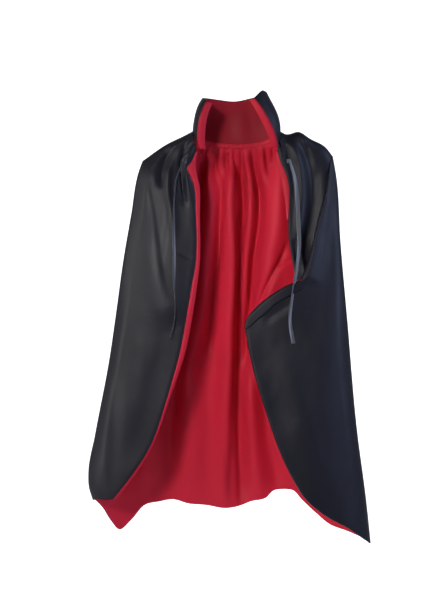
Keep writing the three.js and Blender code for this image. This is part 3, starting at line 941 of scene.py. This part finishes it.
class CAPE_OT_back(bpy.types.Operator):
    """Makes the back: outer satin and the gathered lining inside it"""

    bl_idname = "cape.back"
    bl_label = "Back"

    def execute(self, context):
        sizes = context.scene.cape_sizes
        points = self.points(sizes)
        outer = sheet_object("back_outer", points, "outer_satin", BACK_FLAT, sizes.cloth)
        dress(outer, "black_satin", "back_shell")
        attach(outer, "root")
        inside = offset(points, sizes.layer_gap, (0, -1, 0))
        # Near the collar both cloths are sewn together, so the lining lies straight in front there.
        x, z = points[..., :1], points[..., 2:]
        at_seam = eased((z + 0.03) / 0.02) * eased((0.098 - np.abs(x)) / 0.006)
        inside += at_seam * (points + np.array([0, -sizes.layer_gap, 0]) - inside)
        name = "back_lining_cloth"
        lining = sheet_object(name, inside, "lining_satin", BACK_FLAT, sizes.lining, True)
        dress(lining, "red_satin", "back_lining")
        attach(lining, "root")
        return {"FINISHED"}

    def points(self, sizes):
        """The back's points: its depth rounded off to nothing at its outline, less the relief.

        The relief is up to a third shallower towards the hem, where the folds open out."""
        s = 0.5 - 0.5 * np.cos(np.pi * np.linspace(0, 1, BACK_COLUMNS))
        t = front_rows()
        left, right = outline("left", t), outline("right", t)
        top = drawn(NECK_BACK_LINE, s)
        hem = drawn(BACK_HEM_LINE, s)
        ends = (1 - s)[:, None] ** 8, s[:, None] ** 8
        top = top + ends[0] * (left[0] - top[0]) + ends[1] * (right[0] - top[-1])
        hem = hem + ends[0] * (left[-1] - hem[0]) + ends[1] * (right[-1] - hem[-1])
        xz = patch(left, right, top, hem, s, t)
        x, z = xz[..., 0], xz[..., 1]
        half = {name: edge_distances(name, x, z, 0.06) for name in SIDES}
        below = np.where(x < 0, half["left"][0], half["right"][0])
        inside = np.where(x < 0, half["left"][1], half["right"][1])
        roll = rounded(below, sizes.roll) * rounded(inside, sizes.turn)
        down = np.maximum(0, 0.002 - z)
        relief = all_folds(x, z, BACK_FOLDS)
        relief -= PLEAT_DEEPER * neck_pleats(x, down) * sizes.gather_depth / PLEAT_GATHER
        relief += BACK_SWELL * crumple(x, z, 47)
        relief *= 1 - HEM_FLATTER * eased((HEM_FROM - z) / HEM_OVER)
        calm = eased(below / CALM_TOP) * eased(inside / CALM_SIDE)
        seam = drawn(COLLAR_SEAM, np.linspace(0.2, 0.8, 200))
        seam_y, seam_z = (np.interp(x, seam[:, 0], seam[:, k]) for k in (1, 2))
        sewn = np.exp(-((np.maximum(0, seam_z - z) / SEAM_REACH) ** 2))
        sewn *= eased((SEAM_HALF - np.abs(x)) / SEAM_ENDS)
        y = (back_y(z) * roll - relief * calm) * (1 - sewn) + (seam_y + SEAM_BEHIND) * sewn
        return np.stack([x, y, z], axis=-1)


# ---- Collar ------------------------------------------------------------------------------------------

# The collar's outer cloth at the seam, half way up and at the top, from the left front edge round
# the back to the right front edge: (x, y, z).
COLLAR_SEAM = [(-81, -32, -17), (-91, -24, 6), (-97, -2, 24), (-88, 24, 13), (-52, 37, 2), (0, 40, -2),
               (50, 37, 2), (84, 24, 13), (94, -2, 27), (93, -24, 8), (87, -33, -13)]
COLLAR_MIDDLE = [(-83, -43, 32), (-90, -28, 52), (-92, -2, 62), (-82, 27, 58), (-48, 40, 50), (0, 43, 48),
                 (47, 40, 50), (76, 27, 60), (86, -4, 66), (82, -30, 56), (71, -48, 38)]
COLLAR_TOP = [(-65, -40, 84), (-72, -22, 93), (-76, 0, 98), (-64, 24, 101), (-38, 35, 99), (-6, 37, 96),
              (32, 35, 103), (55, 20, 107), (66, -4, 108), (56, -26, 110), (36, -47, 90)]
COLLAR_LAYERS = {"interfacing": 0.0012, "lining": 0.0022}
COLLAR_FLAT, COLLAR_MAP = (0.31, 0.105), (0.42, 0.11)
COLLAR_GRID, STIFF_GRID = (220, 70), (160, 50)
COLLAR_RIPPLE = 0.0012
# Round the back, the outer cloth goes on below the seam by this share of the collar's height.
COLLAR_BELOW = 0.055
STIFF_ENDS, STIFF_LOW, STIFF_HIGH = 0.02, 0.04, 0.94
STIFF_CLOTH = 0.0005
# The lining rolled out at the front edges: its least width, what is added half way up, and how far
# its inner edge lies back and down.
ROLL_WIDTH, ROLL_SWELL = 0.008, 0.005
ROLL_BACK, ROLL_DOWN = 0.004, 0.002
TOP_EDGE_HEIGHT, TOP_EDGE_CLOTH = 0.0014, 0.0003
# The neck tape: its ends along the seam, its top and width, and how far it stands out, swells and waves.
TAPE_ENDS = (0.06, 0.94)
TAPE_TOP, TAPE_WIDTH, TAPE_CLOTH = 0.004, 0.010, 0.0008
TAPE_OUT, TAPE_SWELL, TAPE_WAVE = 0.0035, 0.0012, 0.0004


def collar_points(s, t, inset):
    """The collar: at each place round it, the parabola through its seam, middle and top lines.

    Inset draws it in towards the neck's own axis."""
    low, middle, high = (drawn(line, s) for line in (COLLAR_SEAM, COLLAR_MIDDLE, COLLAR_TOP))
    t = np.broadcast_to(t, (len(s), np.shape(t)[-1]))[..., None]
    points = (
        low[:, None] * (1 - t) * (1 - 2 * t)
        + middle[:, None] * 4 * t * (1 - t)
        + high[:, None] * t * (2 * t - 1)
    )
    normal = np.cross(np.gradient(points, axis=0), np.gradient(points, axis=1))
    normal /= np.linalg.norm(normal, axis=-1)[..., None]
    x, z = points[..., 0], points[..., 2]
    ripple = COLLAR_RIPPLE * np.sin(2 * np.pi * (x / 0.055 + 1.5 * z))
    ripple *= np.sin(np.pi * np.clip(t[..., 0], 0, 1))
    return points + normal * (inset + ripple)[..., None]


class CAPE_OT_collar(bpy.types.Operator):
    """Makes the stand collar: outer satin, stiff interfacing, lining, and the neck binding"""

    bl_idname = "cape.collar"
    bl_label = "Collar"

    def execute(self, context):
        sizes = context.scene.cape_sizes
        s, t = (np.linspace(0, 1, count) for count in COLLAR_GRID)
        below = COLLAR_BELOW * eased((0.5 - np.abs(s - 0.5)) / 0.14 - 0.5)[:, None]
        points = collar_points(s, t - below * (1 - t), 0.0)
        outer = sheet_object("collar_outer", points, "outer_satin", COLLAR_MAP, sizes.cloth)
        dress(outer, "black_satin", "collar_shell")
        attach(outer, "root")

        columns = np.linspace(STIFF_ENDS, 1 - STIFF_ENDS, STIFF_GRID[0])
        rows = np.linspace(STIFF_LOW, STIFF_HIGH, STIFF_GRID[1])
        between = collar_points(columns, rows, COLLAR_LAYERS["interfacing"])
        stiff = sheet_object("collar_stiffener", between, "stiff_canvas", (0.4, 0.1), STIFF_CLOTH)
        dress(stiff, "interfacing", "collar_interfacing")
        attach(stiff, "root")

        inner = collar_points(s, t, COLLAR_LAYERS["lining"])
        name = "collar_lining_cloth"
        # The collar lining takes the lining satin at half its colour, as painted shade inside the collar.
        lining = sheet_object(name, inner, "collar_satin", COLLAR_MAP, sizes.lining, True)
        dress(lining, "red_satin", "collar_lining")
        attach(lining, "root")
        self.rolled_edges(points, inner)
        self.top_edge(points, inner)
        self.binding()
        return {"FINISHED"}

    def rolled_edges(self, outer, inner):
        """The lining rolled out past each front edge of the collar: a strip of slowly varying width."""
        t = np.linspace(0, 1, outer.shape[1])
        for name, column, direction in (("left", 0, 1.0), ("right", -1, -1.0)):
            edge = outer[column] + np.array([0, 0.0005, 0])
            width = (ROLL_WIDTH + ROLL_SWELL * np.sin(np.pi * (0.15 + 0.75 * t))) * direction
            inward = inner[column] + np.column_stack([width, ROLL_BACK + 0 * t, 0 * t - ROLL_DOWN])
            strip = turned_strip("collar_" + name + "_edge", inward, edge, 0.0025, 0.002)
            dress(strip, "red_satin")
            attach(strip, "root")

    def top_edge(self, outer, inner):
        """The seam along the collar's top: half a round from the outer cloth over to the lining."""
        across = np.linspace(0, np.pi, 11)[:, None, None]
        middle, half = (outer[:, -1] + inner[:, -1]) / 2, (outer[:, -1] - inner[:, -1]) / 2
        rise = np.sin(across) * np.array([0, 0, TOP_EDGE_HEIGHT])
        points = middle[None] + np.cos(across) * half[None] + rise
        edge = sheet_object("collar_top_edge", points, "outer_satin", (0.01, 0.42), TOP_EDGE_CLOTH)
        dress(edge, "black_satin")
        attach(edge, "root")

    def binding(self):
        """The tape over the neck seam, inside: a low strip with a rounded face along the seam."""
        s = np.linspace(*TAPE_ENDS, 260)
        seam = drawn(COLLAR_SEAM, s)
        across = np.linspace(0, 1, 13)
        towards = -seam * np.array([1, 1, 0])
        towards /= np.linalg.norm(towards, axis=1)[:, None]
        height = TAPE_TOP - TAPE_WIDTH * across
        out = TAPE_OUT + TAPE_SWELL * np.sin(np.pi * across)
        wave = TAPE_WAVE * np.sin(2 * np.pi * 60 * s)
        points = (
            seam[:, None]
            + towards[:, None] * (out[None, :, None] + wave[:, None, None])
            + height[None, :, None] * np.array([0, 0, 1.0])
        )
        tape = sheet_object("neck_tape", points, "lining_satin", (0.42, 0.01), TAPE_CLOTH, True)
        dress(tape, "red_satin", "neck_binding")
        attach(tape, "root")


# ---- Panel, registration and main ------------------------------------------------------------------

OPERATORS = (
    CAPE_OT_stage,
    CAPE_OT_ribbons,
    CAPE_OT_left_front,
    CAPE_OT_right_front,
    CAPE_OT_back,
    CAPE_OT_collar,
)


class CAPE_PT_panel(bpy.types.Panel):
    """Sizes, colours and the pieces of the cape"""

    bl_label = "Cape"
    bl_idname = "CAPE_PT_panel"
    bl_space_type = "VIEW_3D"
    bl_region_type = "UI"
    bl_category = "Cape"

    def draw(self, context):
        for group in (context.scene.cape_sizes, context.scene.cape_colours):
            for name in group.__annotations__:
                self.layout.prop(group, name)
        for operator in OPERATORS:
            self.layout.operator(operator.bl_idname)


CLASSES = (CapeSizes, CapeColours, *OPERATORS, CAPE_PT_panel)


def register():
    for cls in CLASSES:
        bpy.utils.register_class(cls)
    bpy.types.Scene.cape_sizes = bpy.props.PointerProperty(type=CapeSizes)
    bpy.types.Scene.cape_colours = bpy.props.PointerProperty(type=CapeColours)


def unregister():
    del bpy.types.Scene.cape_colours
    del bpy.types.Scene.cape_sizes
    for cls in reversed(CLASSES):
        bpy.utils.unregister_class(cls)


def main():
    register()
    bpy.ops.cape.stage()
    bpy.ops.cape.ribbons()
    bpy.ops.cape.left_front()
    bpy.ops.cape.right_front()
    bpy.ops.cape.back()
    bpy.ops.cape.collar()


if __name__ == "__main__":
    main()
